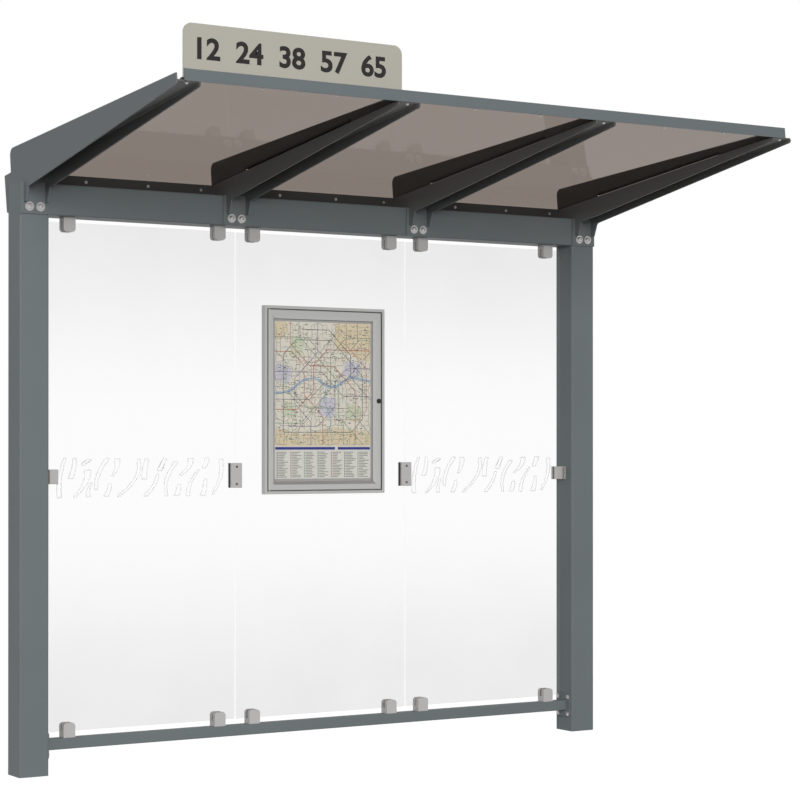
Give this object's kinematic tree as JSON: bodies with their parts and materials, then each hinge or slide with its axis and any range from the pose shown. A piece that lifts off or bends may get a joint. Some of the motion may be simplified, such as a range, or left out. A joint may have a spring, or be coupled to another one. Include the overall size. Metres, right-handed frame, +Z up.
{
  "type": "bus shelter",
  "caption": "Cantilevered bus shelter: two square posts carry a glazed back wall, a smoked roof on tapering folded arms, a name board and a hinged poster case.",
  "frame": {"origin": "centre of the left post's flat foot", "axes": "+X along the shelter to the right post, +Y to the back, away from the roof's open front, +Z up"},
  "size_m": [2.5, 1.3797, 2.4541],
  "materials": {
    "grey_paint": "satin grey powder coat",
    "smoked_sheet": "smoked brown translucent plastic sheet",
    "clear_glass": "clear toughened glass",
    "clamp_metal": "cast, silver grey",
    "sign_plate": "matt beige grey with dark figures",
    "anodised": "satin silver anodised",
    "board": "plain pale board",
    "paper": "printed sheet",
    "strip": "pale strip",
    "acrylic": "clear acrylic",
    "lock": "black"
  },
  "bodies": {
    "shelter": {"left_post": "grey_paint", "right_post": "grey_paint", "top_beam": "grey_paint", "bottom_rail": "grey_paint", "rail_flange_left": "grey_paint", "rail_flange_right": "grey_paint", "roof_arm_1": "grey_paint", "roof_arm_2": "grey_paint", "roof_arm_3": "grey_paint", "roof_arm_4": "grey_paint", "rear_ledge_1": "grey_paint", "rear_ledge_2": "grey_paint", "rear_ledge_3": "grey_paint", "front_fascia": "grey_paint", "roof_sheet_1": "smoked_sheet", "roof_sheet_2": "smoked_sheet", "roof_sheet_3": "smoked_sheet", "glass_pane_1": "clear_glass", "glass_pane_2": "clear_glass", "glass_pane_3": "clear_glass", "bottom_clamp_1": "clamp_metal", "bottom_clamp_2": "clamp_metal", "bottom_clamp_3": "clamp_metal", "bottom_clamp_4": "clamp_metal", "bottom_clamp_5": "clamp_metal", "bottom_clamp_6": "clamp_metal", "top_clamp_1": "clamp_metal", "top_clamp_2": "clamp_metal", "top_clamp_3": "clamp_metal", "top_clamp_4": "clamp_metal", "top_clamp_5": "clamp_metal", "top_clamp_6": "clamp_metal", "middle_clamp_1": "clamp_metal", "middle_clamp_2": "clamp_metal", "post_clamp_left": "clamp_metal", "post_clamp_right": "clamp_metal", "name_board": "sign_plate", "case_frame": "anodised", "case_back": "anodised", "backing_board": "board", "poster": "paper", "poster_strips": "strip"},
    "case_door": {"door_frame": "anodised", "door_glazing": "acrylic", "door_lock": "lock"}
  },
  "joints": [
    {"name": "case_door_hinge", "type": "hinge", "parent": "shelter", "child": "case_door", "pos_m": [0.9545, -0.0215, 1.3335], "axis": [0, 0, -1], "range_deg": [0, 90]}
  ]
}
